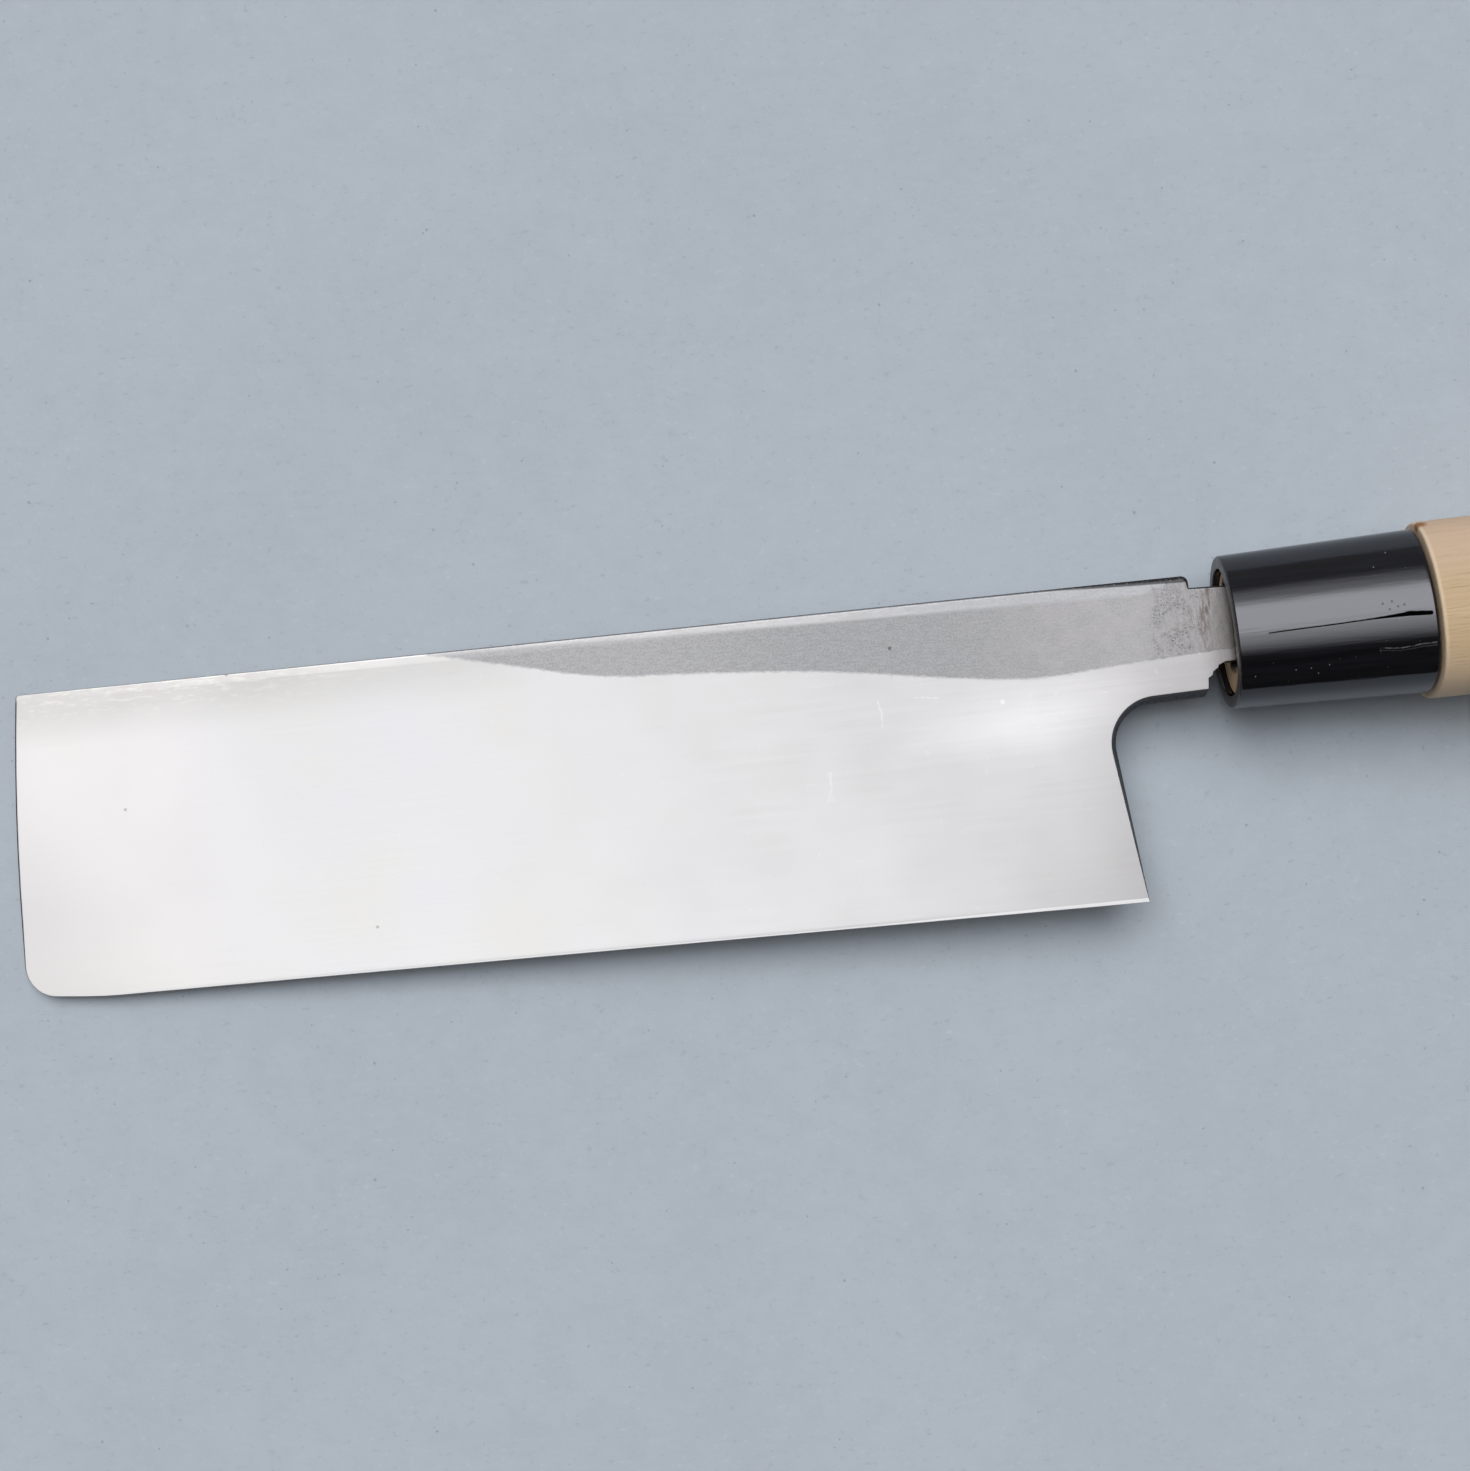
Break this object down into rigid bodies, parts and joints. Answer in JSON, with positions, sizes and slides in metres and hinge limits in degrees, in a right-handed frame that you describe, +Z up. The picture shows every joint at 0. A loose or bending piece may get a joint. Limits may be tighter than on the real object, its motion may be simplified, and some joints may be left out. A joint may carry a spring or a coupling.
{
  "type": "usuba knife",
  "caption": "Square-tipped single-bevel vegetable knife with laminated blade, hollow back, black collar and pale wooden handle, lying on its bevel side.",
  "frame": {"origin": "on the table under the middle of the knife's box", "axes": "+X along the knife to the butt, tip at -X; +Y from the cutting edge to the spine; +Z up, out of the blade's hollow back. The knife lies as it rests, tip down, so its handle line climbs 3.1 degrees to the butt"},
  "size_m": [0.3052, 0.0506, 0.0283],
  "materials": {
    "soft_iron": "matt, finely grained",
    "hard_steel": "satin, ground and rubbed",
    "black_horn": "polished black with faint streaks",
    "pale_wood": "bare, sanded"
  },
  "bodies": {
    "root": {"blade_jigane": "soft_iron", "blade_hagane": "hard_steel", "collar": "black_horn", "handle": "pale_wood"}
  },
  "joints": []
}
